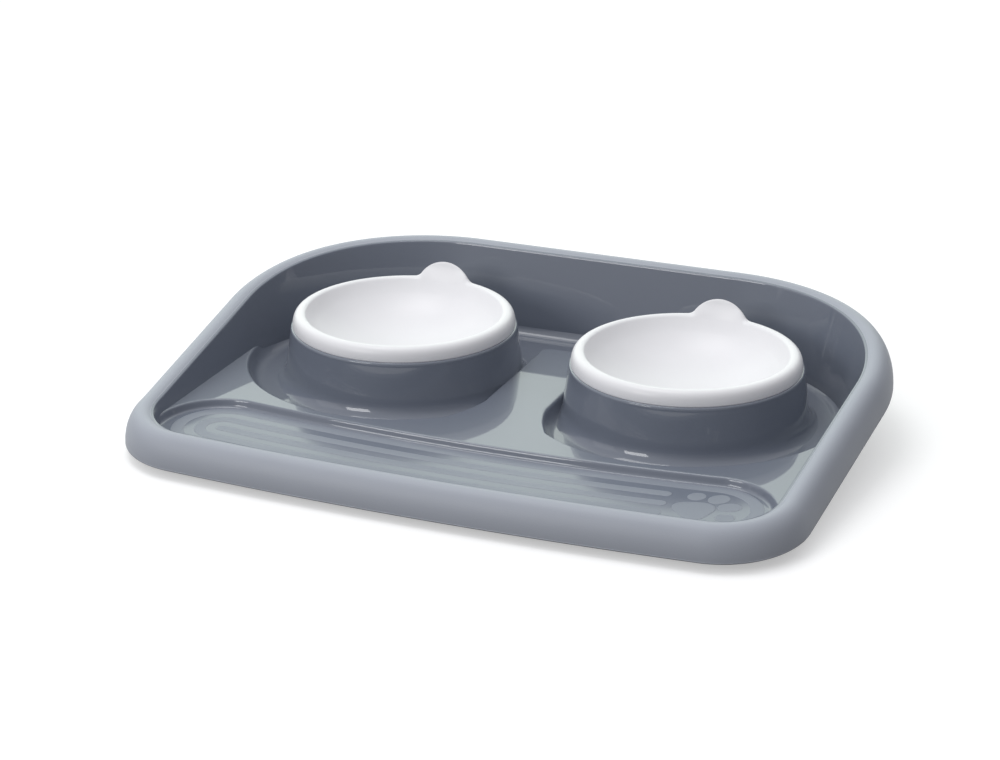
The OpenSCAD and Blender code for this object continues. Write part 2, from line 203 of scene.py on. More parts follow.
# %% [markdown]
# ## Materials
# The tray has one plastic in four finishes. Most of its inside is polished and mirrors the
# bowls, with a faint haze over the mirror image. The drip floor is less polished. The lip came
# out of a coarsely blasted part of the mould and looks pale, and the ribs and the paw print
# out of a finer one. All finishes share a node group for the unevenness of a moulded surface.
# %% Moulded surface group
moulded = bpy.data.node_groups.new("moulded_surface", "ShaderNodeTree")
moulded.interface.new_socket("Base Color", in_out="INPUT", socket_type="NodeSocketColor")
moulded.interface.new_socket("Roughness", in_out="INPUT", socket_type="NodeSocketFloat")
moulded.interface.new_socket("Texture Size", in_out="INPUT", socket_type="NodeSocketFloat")
moulded.interface.new_socket("Texture Depth", in_out="INPUT", socket_type="NodeSocketFloat")
moulded.interface.new_socket("Base Color", in_out="OUTPUT", socket_type="NodeSocketColor")
moulded.interface.new_socket("Roughness", in_out="OUTPUT", socket_type="NodeSocketFloat")
moulded.interface.new_socket("Normal", in_out="OUTPUT", socket_type="NodeSocketVector")

CLOUD_SCALE, CLOUD_DETAIL, GRAIN_DETAIL = 28.0, 3.0, 2.0
TONE_RANGE, POLISH_RANGE = (0.965, 1.035), (0.85, 1.15)
GRAIN_HEIGHT = 0.0002


def factor_node(tree, given, limits):
    """Spreads a noise value from 0 to 1 over the limits of a factor."""
    node = add_node(tree, "ShaderNodeMapRange")
    node.inputs["To Min"].default_value, node.inputs["To Max"].default_value = limits
    tree.links.new(given, node.inputs["Value"])
    return node.outputs["Result"]


def build_moulded(tree):
    """Cloudy tone and polish over centimetres, and fine grain as a bump."""
    link = tree.links.new
    given = add_node(tree, "NodeGroupInput")
    out = add_node(tree, "NodeGroupOutput")
    place = add_node(tree, "ShaderNodeTexCoord")
    cloud = add_node(tree, "ShaderNodeTexNoise")
    cloud.inputs["Scale"].default_value = CLOUD_SCALE
    cloud.inputs["Detail"].default_value = CLOUD_DETAIL
    link(place.outputs["Object"], cloud.inputs["Vector"])
    colour = add_node(tree, "ShaderNodeVectorMath", operation="SCALE")
    link(given.outputs["Base Color"], colour.inputs[0])
    link(factor_node(tree, cloud.outputs["Fac"], TONE_RANGE), colour.inputs["Scale"])
    link(colour.outputs["Vector"], out.inputs["Base Color"])
    rough = add_node(tree, "ShaderNodeMath", operation="MULTIPLY")
    link(given.outputs["Roughness"], rough.inputs[0])
    link(factor_node(tree, cloud.outputs["Fac"], POLISH_RANGE), rough.inputs[1])
    link(rough.outputs["Value"], out.inputs["Roughness"])
    grain = add_node(tree, "ShaderNodeTexNoise")
    grain.inputs["Detail"].default_value = GRAIN_DETAIL
    link(place.outputs["Object"], grain.inputs["Vector"])
    link(given.outputs["Texture Size"], grain.inputs["Scale"])
    bump = add_node(tree, "ShaderNodeBump")
    bump.inputs["Distance"].default_value = GRAIN_HEIGHT
    link(given.outputs["Texture Depth"], bump.inputs["Strength"])
    link(grain.outputs["Fac"], bump.inputs["Height"])
    link(bump.outputs["Normal"], out.inputs["Normal"])


build_moulded(moulded)
print("group:", moulded.name, "with", len(moulded.nodes), "nodes")

# %% [markdown]
# A finish places the group beside its own shader. The numbers that are the same all over the
# surface, such as the index of refraction and the haze, are set on the shader itself.
# %% Plastic and rubber finishes
PLASTIC_IOR = 1.5
HAZE_ROUGHNESS = 0.42


def make_finish(name, colour, roughness, texture_size, texture_depth, haze=0.0):
    """A moulded material. The haze is a rough coat, weaker than the surface's own gloss."""
    material = bpy.data.materials.new(name)
    material.use_nodes = True
    tree = material.node_tree
    shader = tree.nodes["Principled BSDF"]
    shader.inputs["IOR"].default_value = PLASTIC_IOR
    shader.inputs["Coat Weight"].default_value = haze
    shader.inputs["Coat Roughness"].default_value = HAZE_ROUGHNESS
    group = add_node(tree, "ShaderNodeGroup")
    group.node_tree = moulded
    group.inputs["Base Color"].default_value = (*colour, 1)
    group.inputs["Roughness"].default_value = roughness
    group.inputs["Texture Size"].default_value = texture_size
    group.inputs["Texture Depth"].default_value = texture_depth
    for socket in ("Base Color", "Roughness", "Normal"):
        tree.links.new(group.outputs[socket], shader.inputs[socket])
    return material


polished_grey = make_finish("polished_grey", (0.140, 0.158, 0.198), 0.03, 90, 0.015, haze=0.55)
matt_grey = make_finish("matt_grey", (0.325, 0.345, 0.390), 0.5, 1400, 0.35)
rib_grey = make_finish("rib_grey", (0.205, 0.225, 0.268), 0.42, 1400, 0.12)
drip_grey = make_finish("drip_grey", (0.155, 0.175, 0.215), 0.13, 90, 0.015)
satin_white = make_finish("satin_white", (0.735, 0.73, 0.745), 0.36, 160, 0.03)
soft_rubber = make_finish("soft_rubber", (0.035, 0.037, 0.042), 0.65, 900, 0.3)
for material in (polished_grey, matt_grey, rib_grey, drip_grey, satin_white, soft_rubber):
    print("finish:", material.name)

# %% [markdown]
# ## The tray's outline
# Everything on the tray follows one outline: the foot of its wall. It bows a little at the
# front, has small corners there and large ones at the back. A station is a point of that
# outline with its outward direction, so the lip, the wall and the floor's edge can all be
# set off from the same list. The sizes are the CAD's own.
# %% Driving sizes of the tray
TRAY_W, TRAY_D, WALL = 0.4436, 0.3246, 0.0025
DECK_H, DRIP_DROP, TROUGH_DEPTH = 0.020, 0.005, 0.011
FRONT_R, BACK_R, FRONT_BOW = 0.033, 0.104, 0.0076
FRONT_H, BACK_H = 0.022, 0.065
LIP_W, LIP_H, SKIRT_H = 0.0163, 0.0195, 0.0005
LEAN = 0.27  # how far the wall leans outward for its height
SEAT_GAP_W, SEAT_H, SPREAD, TROUGH_REACH = 0.0472, 0.045, 0.0045, 0.029
PAD_LIFT = 0.001  # the feet keep the tray this far off the table
DRIP_H, TROUGH_H = DECK_H - DRIP_DROP, DECK_H - TROUGH_DEPTH
LIP_LEAD = math.radians(22)  # how far before its top the lip's round begins
LIP_A = LIP_W / (1 + math.sin(LIP_LEAD))
CREST_ROUND = 0.6 * WALL

# %% Height of the rim along the tray
RISE_FROM, RISE_RUN, RISE_EASE = -0.433 * TRAY_D, 0.786 * TRAY_D, 0.19
FULL_HEIGHT_Y = 0.41 * TRAY_D  # far enough back for the crest to be at its highest


def crest_height(y):
    """A straight slope from the low front to the high back, eased at both ends."""
    t, ease = (y - RISE_FROM) / RISE_RUN, RISE_EASE
    if t < -ease:
        share = 0.0
    elif t < ease:
        share = (t + ease) ** 2 / (4 * ease)
    elif t < 1 - ease:
        share = t
    elif t < 1 + ease:
        share = 1 - (1 + ease - t) ** 2 / (4 * ease)
    else:
        share = 1.0
    return FRONT_H + (BACK_H - FRONT_H) * share


def wall_out(z):
    """How far outside the outline the wall's inner face is at a height."""
    return LEAN * (z - DECK_H)


def rim_out(y):
    """How far outside the outline the lip reaches."""
    return wall_out(crest_height(y)) + CREST_ROUND + LIP_W


FRONT_Y = -TRAY_D / 2 + rim_out(-TRAY_D / 2)
BACK_Y = TRAY_D / 2 - rim_out(FULL_HEIGHT_Y)
CORNER_Y = BACK_Y - BACK_R
SIDE_X = TRAY_W / 2 - rim_out(CORNER_Y)
TUCK = 0.3 * WALL  # how far the troughs run in under the wall
SEAT_R = (SIDE_X + TUCK - TROUGH_REACH - SEAT_GAP_W / 2) / 2
TROUGH_R = SEAT_R + TROUGH_REACH
BOWL_X, BOWL_Y = SEAT_R + SEAT_GAP_W / 2, BACK_Y + TUCK - TROUGH_R
print("floor: x to", round(SIDE_X, 4), "y", round(FRONT_Y, 4), "to", round(BACK_Y, 4))
print("bowl axis at", round(BOWL_X, 4), round(BOWL_Y, 4), "seat radius", round(SEAT_R, 4))


# %% Stations of the outline
def make_stations(front=16, front_corner=22, side=40, back_corner=44, back=14):
    """Points (x, y) with outward directions, once round the foot of the wall."""
    bow_r = (SIDE_X ** 2 + FRONT_BOW ** 2) / (2 * FRONT_BOW)
    corner_x = SIDE_X - FRONT_R
    turn = math.asin(corner_x / (bow_r - FRONT_R))
    corner_y = FRONT_Y + bow_r - (bow_r - FRONT_R) * math.cos(turn)

    def arc(cx, cy, r, a):
        return (cx + r * math.cos(a), cy + r * math.sin(a), math.cos(a), math.sin(a))

    quarter = math.pi / 2
    half = [arc(0, FRONT_Y + bow_r, bow_r, -quarter + turn * i / front) for i in range(front)]
    half += [arc(corner_x, corner_y, FRONT_R,
                 -quarter + turn + (quarter - turn) * i / front_corner)
             for i in range(front_corner + 1)]
    half += [(SIDE_X, corner_y + (CORNER_Y - corner_y) * i / side, 1, 0) for i in range(1, side)]
    half += [arc(SIDE_X - BACK_R, CORNER_Y, BACK_R, quarter * i / back_corner)
             for i in range(back_corner + 1)]
    half += [((SIDE_X - BACK_R) * (1 - i / back), BACK_Y, 0, 1) for i in range(1, back)]
    other = [(-x, y, -nx, ny) for x, y, nx, ny in reversed(half[1:])]
    return np.array(half + [(0, BACK_Y, 0, 1)] + other)


STATIONS = make_stations()
print("stations:", len(STATIONS))

# %% [markdown]
# ## Rim and splash wall
# The lip is a hook of constant section: a rounded top that rolls outward and down to a short
# skirt. It could be a curve with a bevel profile, but the wall under it grows taller toward
# the back, so the section has to change along the way. Here one section function is swept
# round the stations, and a material index marks where the polish ends and the matt lip begins.
# %% Curves and arcs
def bezier(p, q, r, n=24, first=0.0):
    """Points of a curve from p to r that leaves toward q, from a share of it onward."""
    t = np.linspace(first, 1, n)[:, None]
    return (1 - t) ** 2 * np.array(p) + 2 * t * (1 - t) * np.array(q) + t * t * np.array(r)


def ellipse_run(u, z, half_w, half_h, start, stop, n):
    """Points of an ellipse about (u, z), by the angle from its top toward the outside."""
    angles = np.linspace(start, stop, n)
    return [(u + half_w * math.sin(a), z + half_h * math.cos(a)) for a in angles]


# %% Section of the rim
CREST_BEVEL = 0.0007
WALL_END = 0.0008  # the last short stretch of the wall, which keeps its shading flat
RING_TOP = DRIP_H - 1.2 * WALL  # below it the wall stands upright as the stand ring
RING_DRAFT = 0.1 * WALL
SKIRT_ROUND = 0.45 * WALL
GLOSS, MATT = 0, 1


def rim_section(h):
    """(outward, up, finish) points once round the section, for a crest height h."""
    crest, low = wall_out(h) + CREST_ROUND, h - CREST_BEVEL
    cu, cz = crest + LIP_A * math.sin(LIP_LEAD), h - LIP_H * math.cos(LIP_LEAD)
    thick = WALL * math.sqrt(1 + LEAN ** 2)
    edge_u, edge_z = crest + LIP_W - SKIRT_ROUND, cz - SKIRT_H
    wall = [(wall_out(z), z) for z in [*np.linspace(RING_TOP, low - WALL_END, 8), low]]
    bevel = bezier(wall[-1], (wall_out(h) + 0.0001, h - 0.0002), (crest, h), 8)[1:-1]
    lip = ellipse_run(cu, cz, LIP_A, LIP_H, -LIP_LEAD, math.pi / 2, 34)
    skirt = [(edge_u + SKIRT_ROUND * math.cos(a), edge_z + SKIRT_ROUND * (1 - math.sin(a)))
             for a in np.linspace(0, math.pi, 9)]
    hollow = ellipse_run(cu, cz, LIP_A - WALL, LIP_H - WALL, math.pi / 2, 0.05 - LIP_LEAD, 14)
    outside = [(wall_out(z) + thick, z) for z in np.linspace(h - 2 * WALL, RING_TOP, 6)]
    ring = [(outside[-1][0] - RING_DRAFT, PAD_LIFT), (wall[0][0] + RING_DRAFT, PAD_LIFT)]
    inside, outer = [*ring[1:], *wall, *bevel], [*hollow, *outside, *ring[:1]]
    runs = ((inside, GLOSS), ([*lip, *skirt], MATT), (outer, GLOSS))
    return [(u, z, finish) for run, finish in runs for u, z in run]


def sweep(name, stations, section_at, materials):
    """A closed band: the section at every station, joined to the next."""
    rows = [section_at(s) for s in stations]
    n, m = len(rows), len(rows[0])
    points = [(s[0] + u * s[2], s[1] + u * s[3], z)
              for s, row in zip(stations, rows) for u, z, _ in row]
    faces, finish = [], []
    for i in range(n):
        k = (i + 1) % n
        for j in range(m):
            q = (j + 1) % m
            faces.append((i * m + j, i * m + q, k * m + q, k * m + j))
            finish.append(min(rows[i][j][2], rows[i][q][2]))
    return make_mesh(name, points, [f[::-1] for f in faces], materials=materials, indices=finish)


tray_rim = sweep("tray_rim", STATIONS, lambda s: rim_section(crest_height(s[1])),
                 [polished_grey, matt_grey])
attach(tray_rim, "tray")
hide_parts("tray")
print("rim faces:", len(tray_rim.data.polygons))

# %% [markdown]
# ## Floor of the tray
# The floor is one sheet at three levels: the deck, the sunken drip floor in front and the
# troughs round the pedestals. Moulded plastic has no sharp edges, and on a polished surface
# each rounded edge draws a thin bright line, so those edges matter more than anything else
# here. Bevelling the CAD solid would leave ragged triangles, so the sheet is made as a height:
# a formula says how high the floor is at any point, and how it leans there.
# %% Rounded steps as curves
def step_profile(depth, round_top, fall, slope, run):
    """(distance, height) of a step: a rounded edge, a steep side and a foot that flattens."""
    top = bezier((round_top, 0), (0.15 * round_top, 0), (-fall * slope, -fall))
    k = (depth - fall) / fall
    knee = (-fall * slope * (1 + k), -depth)
    side = bezier(top[-1], knee, (-run, -depth), 40)
    curve = np.vstack([top, side[1:]])[::-1]
    return curve[:, 0], curve[:, 1]


RISER_SHIFT = 0.0002  # moves the step's middle a little toward the drip floor


def riser_profile(depth, top_r=0.0016, foot_r=0.0020, steepest=math.radians(70)):
    """A rounded edge, a straight steep side and a hollow foot, as arcs of a circle."""
    drop = 1 - math.cos(steepest)
    straight = (depth - (top_r + foot_r) * drop) / math.sin(steepest)
    a = np.linspace(0, steepest, 16)
    top = np.stack([-top_r * np.sin(a), -top_r * (1 - np.cos(a))], axis=1)
    foot = np.stack([-foot_r * (math.sin(steepest) - np.sin(a[::-1])),
                     -foot_r * (np.cos(a[::-1]) - math.cos(steepest))], axis=1)
    foot += top[-1] - (straight * math.cos(steepest), straight * math.sin(steepest))
    curve = np.vstack([top, foot])[::-1]
    return curve[:, 0] - (top[-1, 0] + foot[0, 0]) / 2 - RISER_SHIFT, curve[:, 1]


COVE = step_profile(TROUGH_DEPTH, 0.0014, 0.0013, 0.35, 0.0105)
BRIDGE_SIDE = step_profile(TROUGH_DEPTH, 0.0018, 0.0016, 0.35, 0.0080)
STEP = riser_profile(DRIP_DROP)


def along(profile, d):
    """Height of a profile at a distance."""
    return np.interp(d, profile[0], profile[1])


# %% Distances to the features of the floor
DRIP_Y = -0.247 * TRAY_D
BOW_R = 4.03 * TRAY_D  # the step and the ribs bow forward in the middle
BOW_Y = DRIP_Y + BOW_R
DRIP_HALF, DRIP_END_R = 0.0335, 0.0375
MID_R = BOW_R + DRIP_HALF
DRIP_END_X = SIDE_X - DRIP_END_R - 0.5 * WALL
DRIP_END_TURN = math.asin(DRIP_END_X / (BOW_R + DRIP_END_R))
DRIP_END_Y = BOW_Y - (BOW_R + DRIP_END_R) * math.cos(DRIP_END_TURN)
FLARE_POWER = 1.6
BRIDGE = dict(half=0.433 * SEAT_GAP_W, flare=0.51 * SEAT_GAP_W, start=0.6 * SEAT_R,
              run=0.73 * SEAT_R, end=0.757 * SEAT_R, corner=0.008)


def drip_distance(x, y):
    """Distance outside the drip floor's area, below zero inside it."""
    x = np.abs(x)
    far = BOW_R - np.hypot(x, y - BOW_Y)
    end = np.hypot(x - DRIP_END_X, y - DRIP_END_Y) - DRIP_END_R
    side = x - DRIP_END_X - DRIP_END_R
    in_sector = x < np.tan(DRIP_END_TURN) * (BOW_Y - y)
    return np.where(in_sector, far, np.where(y > DRIP_END_Y, end, side))


def trough_distance(x, y):
    """Distance outside the troughs: two rings, joined along the back wall."""
    x = np.abs(x)
    ring = np.hypot(x - BOWL_X, y - BOWL_Y)
    joined = np.hypot(np.maximum(x - BOWL_X, 0), y - BOWL_Y)
    return np.where(y > BOWL_Y, joined, ring) - TROUGH_R


def bridge_half(y):
    """Half the bridge's width at a place along it, and how fast it widens there."""
    spread = np.maximum(np.abs(y - BOWL_Y) - BRIDGE["start"], 0) / BRIDGE["run"]
    half = BRIDGE["half"] + BRIDGE["flare"] * spread ** FLARE_POWER
    return half, FLARE_POWER * BRIDGE["flare"] / BRIDGE["run"] * spread ** (FLARE_POWER - 1)


def bridge_distance(x, y):
    """Distance inside the bridge, below zero outside it."""
    half, slope = bridge_half(y)
    aside = (np.abs(x) - half) / np.sqrt(1 + slope ** 2)
    beyond = y - BOWL_Y - BRIDGE["end"]
    r = BRIDGE["corner"]
    both = (aside > -r) & (beyond > -r)
    return -np.where(both, np.hypot(aside + r, beyond + r) - r, np.maximum(aside, beyond))


CREASE = 0.003  # how widely the bridge's side and the cove run into each other


def floor_height(x, y, grow=0.0):
    """Height of the upper side; grow widens the hollows to give the lower side."""
    a = along(COVE, trough_distance(x, y) - grow)
    b = along(BRIDGE_SIDE, bridge_distance(x, y) - grow)
    higher = np.maximum(a, b)
    soft = np.clip(-higher, 1e-6, CREASE)
    higher = higher + np.maximum(soft - np.abs(a - b), 0) ** 2 / (4 * soft)
    return DECK_H + higher + along(STEP, drip_distance(x, y) - grow)


def floor_normals(x, y, grow=0.0, e=0.00004):
    """Upward normals from the slope over a very short way, e, to both sides."""
    dx = (floor_height(x + e, y, grow) - floor_height(x - e, y, grow)) / (2 * e)
    dy = (floor_height(x, y + e, grow) - floor_height(x, y - e, grow)) / (2 * e)
    n = np.stack([-dx, -dy, np.ones_like(dx)], axis=1)
    return n / np.linalg.norm(n, axis=1)[:, None]


# %% [markdown]
# A regular grid fine enough for the rounded edges would be huge, and coarse enough to handle it
# would blur them. So points are placed in rows along each edge, close together across it and
# far apart along it, with a loose grid over the level parts, and a Delaunay triangulation
# joins them. The normals come from the formula, so reflections run smoothly over the triangles.
# %% Points where the floor needs them
# Distances of the rows from an edge. Those beyond 2.6 mm serve the lower side, whose edges are
# set off by the wall's thickness.
ACROSS = 0.001 * np.array([
    5.3, 4.4, 3.9, 3.5, 3.2, 2.9, 2.6, 2.3, 1.9, 1.4, 1.1, 0.85, 0.6, 0.35, 0.1, -0.1, -0.3,
    -0.53, -0.77, -1.0, -1.2, -1.5, -1.9, -2.4, -3.0, -3.8, -4.8, -5.8, -7.0, -8.2, -9.4,
    -10.6, -12.0])
STEP_REACH = 0.0043  # the step has flattened out this far inside its edge
PEDESTAL_R = SEAT_R + SPREAD


def ring_points(cx, cy, r, start, stop, n):
    """Points of an arc about (cx, cy)."""
    t = np.linspace(start, stop, n)
    return np.stack([cx + r * np.cos(t), cy + r * np.sin(t)], axis=1)


def bridge_row(d):
    """The bridge's side from the front to its round corner and across its end."""
    y = np.linspace(BOWL_Y - 1.02 * TROUGH_R, BOWL_Y + BRIDGE["end"] - BRIDGE["corner"], 76)
    half = bridge_half(y)[0]
    side = np.stack([half - d, y], axis=1)
    r = BRIDGE["corner"] - d
    corner = ring_points(half[-1] - BRIDGE["corner"], y[-1], r, 0, math.pi / 2, 14)[1:]
    across = np.stack([np.linspace(corner[-1, 0], 0, 12)[1:], np.full(11, corner[-1, 1])], axis=1)
    return np.vstack([side, corner, across])


def step_row(d):
    """Along the step from the tray's middle, round its end and forward beside the wall."""
    t, r = np.linspace(0, DRIP_END_TURN, 64), DRIP_END_R + d
    far = np.stack([(BOW_R - d) * np.sin(t), BOW_Y - (BOW_R - d) * np.cos(t)], axis=1)
    end = ring_points(DRIP_END_X, DRIP_END_Y, r, math.pi / 2 + DRIP_END_TURN, 0, 44)[1:]
    y = np.linspace(DRIP_END_Y, DRIP_END_Y - 0.02, 9)[1:]
    side = np.stack([np.full_like(y, DRIP_END_X + r), y], axis=1)
    return np.vstack([far, end, side])


def feature_rows():
    """Rows of points along every edge of the floor; each row stays an edge of the mesh."""
    rows = []
    for d in ACROSS:
        for side in (-1, 1):
            turn = ring_points(BOWL_X, BOWL_Y, TROUGH_R + d, -1.5 * math.pi, math.pi / 2, 221)
            rows.append(turn * (side, 1))
            rows.append(bridge_row(d) * (side, 1))
            if d > -STEP_REACH:
                rows.append(step_row(d) * (side, 1))
        x = np.linspace(-BOWL_X, BOWL_X, 61)
        rows.append(np.stack([x, np.full_like(x, BOWL_Y + TROUGH_R + d)], axis=1))
    return rows


def level_points(step=0.007):
    """A loose grid over the whole floor."""
    x, y = np.meshgrid(np.arange(-SIDE_X, SIDE_X, step), np.arange(FRONT_Y, BACK_Y, step))
    return np.stack([x.ravel(), y.ravel()], axis=1)


def away_from_bowls(points):
    """Distance from the nearer bowl's axis."""
    return np.hypot(np.abs(points[:, 0]) - BOWL_X, points[:, 1] - BOWL_Y)


def inside_outline(points, out):
    """Marks the points inside the outline set off by out."""
    loop = STATIONS[:, :2] + out * STATIONS[:, 2:]
    nxt = np.roll(loop, -1, axis=0)
    x, y = points[:, 0][:, None], points[:, 1][:, None]
    crosses = (loop[:, 1] > y) != (nxt[:, 1] > y)
    span = nxt[:, 1] - loop[:, 1]
    at = loop[:, 0] + (y - loop[:, 1]) * (nxt[:, 0] - loop[:, 0]) / np.where(span == 0, 1, span)
    return (np.sum(crosses & (x < at), axis=1) % 2) == 1


# %% Triangulate the floor
EDGE_OUT = 0.12 * WALL  # the floor's edge runs a little into the wall's thickness
HOLE_R = PEDESTAL_R - 0.002  # the pedestal's foot covers the edge of its hole
EDGE_CLEAR, HOLE_CLEAR = 0.0003, 0.0004  # keep slivers away from the borders
SAME_POINT = 2e-6  # points closer than this become one


def usable(points):
    """Marks the points that lie on the floor and clear of its borders."""
    clear = away_from_bowls(points) > HOLE_R + HOLE_CLEAR
    return inside_outline(points, EDGE_OUT - EDGE_CLEAR) & clear


edge_loop = STATIONS[:, :2] + EDGE_OUT * STATIONS[:, 2:]
holes = [ring_points(side * BOWL_X, BOWL_Y, HOLE_R, 0, 2 * math.pi, 181)[:-1] for side in (-1, 1)]
points, edges = [], []
for loop in [edge_loop] + holes:
    first = len(points)
    points += list(loop)
    edges += [(first + i, first + (i + 1) % len(loop)) for i in range(len(loop))]
for row in feature_rows():
    keep = usable(row)
    index = len(points) + np.cumsum(keep) - 1
    points += list(row[keep])
    joined = np.flatnonzero(keep[:-1] & keep[1:])
    edges += [(int(index[i]), int(index[i + 1])) for i in joined]
loose = level_points()
points += list(loose[usable(loose)])
found = delaunay_2d_cdt([Vector(p) for p in points], edges, [], 0, SAME_POINT, False)
plan = np.array([tuple(v) for v in found[0]])
triangles = np.array([tuple(f) for f in found[2]])
middle = plan[triangles].mean(axis=1)
triangles = triangles[(away_from_bowls(middle) > HOLE_R) & inside_outline(middle, EDGE_OUT)]
print("floor points:", len(plan), "triangles:", len(triangles))

# %% Give the floor its height and its two sides
DRIP_FINISH_IN = 0.0035  # where the drip floor's own finish begins inside its edge

x, y = plan[:, 0], plan[:, 1]
upper = np.stack([x, y, floor_height(x, y)], axis=1)
lower = np.stack([x, y, floor_height(x, y, WALL) - WALL], axis=1)
vertices = np.vstack([upper, lower])
normals = np.vstack([floor_normals(x, y), -floor_normals(x, y, WALL)])
faces = np.vstack([triangles, triangles[:, ::-1] + len(plan)])
in_drip = drip_distance(*plan[triangles].mean(axis=1).T) < -DRIP_FINISH_IN
finish = np.concatenate([in_drip, np.zeros(len(triangles))]).astype(int)
tray_floor = make_mesh("tray_floor", vertices, faces, normals, [polished_grey, drip_grey], finish)
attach(tray_floor, "tray")
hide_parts("tray")
print("floor triangles:", len(faces))

# %% [markdown]
# ## Pedestals and their seats
# A pedestal is one folded wall: up its outside, over the rounded seat that carries the bowl's
# rim, and down into a cup that the bowl hangs in. It is round, so its section is turned about
# the bowl's axis.
# %% Turn a section about an axis
def turn_section(name, section, centre, materials, steps=192):
    """A lathe: the closed section of (radius, height) points, turned about a vertical axis."""
    section = np.asarray(section)
    m = len(section)
    angles = np.linspace(0, 2 * math.pi, steps, endpoint=False)
    points = np.array([(centre[0] + r * math.cos(a), centre[1] + r * math.sin(a), z)
                       for a in angles for r, z in section])
    faces = [(i * m + j, ((i + 1) % steps) * m + j, ((i + 1) % steps) * m + (j + 1) % m,
              i * m + (j + 1) % m) for i in range(steps) for j in range(m)
             if section[j][0] > 0 or section[(j + 1) % m][0] > 0]
    return make_mesh(name, points, faces, materials=materials)


# %% Sizes of the bowl that the seat has to clear
RIM_H, BOWL_DEPTH, BOWL_WALL, TAB_H, TAB_W = 0.009, 0.028, 0.0025, 0.011, 0.042
RIM_TOP = SEAT_H + RIM_H
BOWL_EDGE_R, BOWL_A = 0.875 * SEAT_R, 0.917 * SEAT_R  # the hull is part of an ellipsoid
EDGE_DROP = 0.15 * RIM_H
BOWL_B = (BOWL_DEPTH - EDGE_DROP) / (1 - math.sqrt(1 - (BOWL_EDGE_R / BOWL_A) ** 2))
BOWL_MID_Z = RIM_TOP - BOWL_DEPTH + BOWL_B
BASE_R = 0.032


def hull_point(r, grow):
    """The hull's point at a radius; grow sets the hull off outward."""
    return (r, BOWL_MID_Z - (BOWL_B + grow) * math.sqrt(max(0, 1 - (r / (BOWL_A + grow)) ** 2)))


def hull_radius(z, grow):
    """The hull's radius at a height."""
    return (BOWL_A + grow) * math.sqrt(1 - ((BOWL_MID_Z - z) / (BOWL_B + grow)) ** 2)


# %% Pedestals
CUP_GAP = 0.0012  # air between a bowl and its cup
FOOT_REACH, FOOT_SINK = 0.010, 0.00002  # the rounded foot ends just below the trough's floor
SIDE_R = PEDESTAL_R - 0.0005
SHOULDER_R, SHOULDER_Z = SEAT_R + 0.001, SEAT_H - 0.0022  # where the side turns into the seat
CUP_BASE_R = BASE_R + 0.005


def pedestal_section():
    """(radius, height) points up the side, over the seat, down into the cup and back below."""
    cup, under = BOWL_WALL + CUP_GAP, BOWL_WALL + CUP_GAP + WALL
    r, z = CUP_BASE_R, RIM_TOP - BOWL_DEPTH - cup
    mouth, foot_z = hull_radius(SEAT_H, cup), TROUGH_H - FOOT_SINK
    slope = (SHOULDER_R - SIDE_R) / (SHOULDER_Z - DECK_H)
    section = [*bezier((PEDESTAL_R + FOOT_REACH, foot_z), (PEDESTAL_R + 0.0005, foot_z),
                       (SIDE_R, DECK_H), 28)]
    section += [(SIDE_R + slope * h, DECK_H + h) for h in (0.0012, SEAT_H - DECK_H - 0.0030)]
    section += [*bezier((SHOULDER_R, SHOULDER_Z), (SHOULDER_R, SEAT_H - 0.0001),
                        (SEAT_R - 0.0006, SEAT_H), 12)]
    section += [*bezier((mouth + 0.0012, SEAT_H), (mouth, SEAT_H),
                        (mouth - 0.0004, SEAT_H - 0.0012), 6)]
    section += [hull_point(at, cup) for at in np.linspace(mouth - 0.001, r + 0.004, 22)]
    section += [*bezier((r + 0.002, z + 0.004), (r + 0.001, z), (r - 0.002, z), 6)]
    section += [(0, z), (0, z - WALL), (r + 0.6 * WALL, z - WALL)]
    outer_run = np.linspace(r + 0.003 + 0.6 * WALL, hull_radius(SEAT_H - WALL, under), 16)
    section += [hull_point(at, under) for at in outer_run]
    section += [(SHOULDER_R - 0.9 * WALL, SEAT_H - 1.5 * WALL), (SIDE_R - WALL, DECK_H)]
    section += [(PEDESTAL_R + out, TROUGH_H - 0.5 * WALL) for out in (-WALL, FOOT_REACH)]
    return section


for side, name in ((-1, "left"), (1, "right")):
    pedestal = turn_section("tray_pedestal_" + name, pedestal_section(),
                            (side * BOWL_X, BOWL_Y), [polished_grey])
    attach(pedestal, "tray")
    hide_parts("tray")
    print(pedestal.name, len(pedestal.data.polygons), "faces")

# %% [markdown]
# ## Ribs and paw print
# The drip floor carries low matt ribs that run round in loops, and a paw print at its right
# end. They stand only about a tenth of a millimetre proud, so they show by their finish more
# than by their height. Each rib is a flat bar with rounded edges, laid along a path. A bar that
# closes on itself needs no ends, and an open one gets round ones by narrowing at its ends.
# %% Lay a low bar along a path
RIB_H, RIB_W, RIB_STEP = 0.00012, 0.0068, 0.0134
RIB_X = DRIP_END_X - 0.4 * WALL
RIB_STOP_X = SIDE_X - 0.068
BAR = [(-1.0, -0.6), (-1.0, 0.35), (-0.96, 0.75), (-0.88, 0.97), (-0.75, 1.0),
       (0.75, 1.0), (0.88, 0.97), (0.96, 0.75), (1.0, 0.35), (1.0, -0.6)]


def row_point(x, s):
    """A point of the bowed rows: x along the middle row, s toward the back."""
    a = math.asin(x / MID_R)
    return ((MID_R - s) * math.sin(a), BOW_Y - (MID_R - s) * math.cos(a))


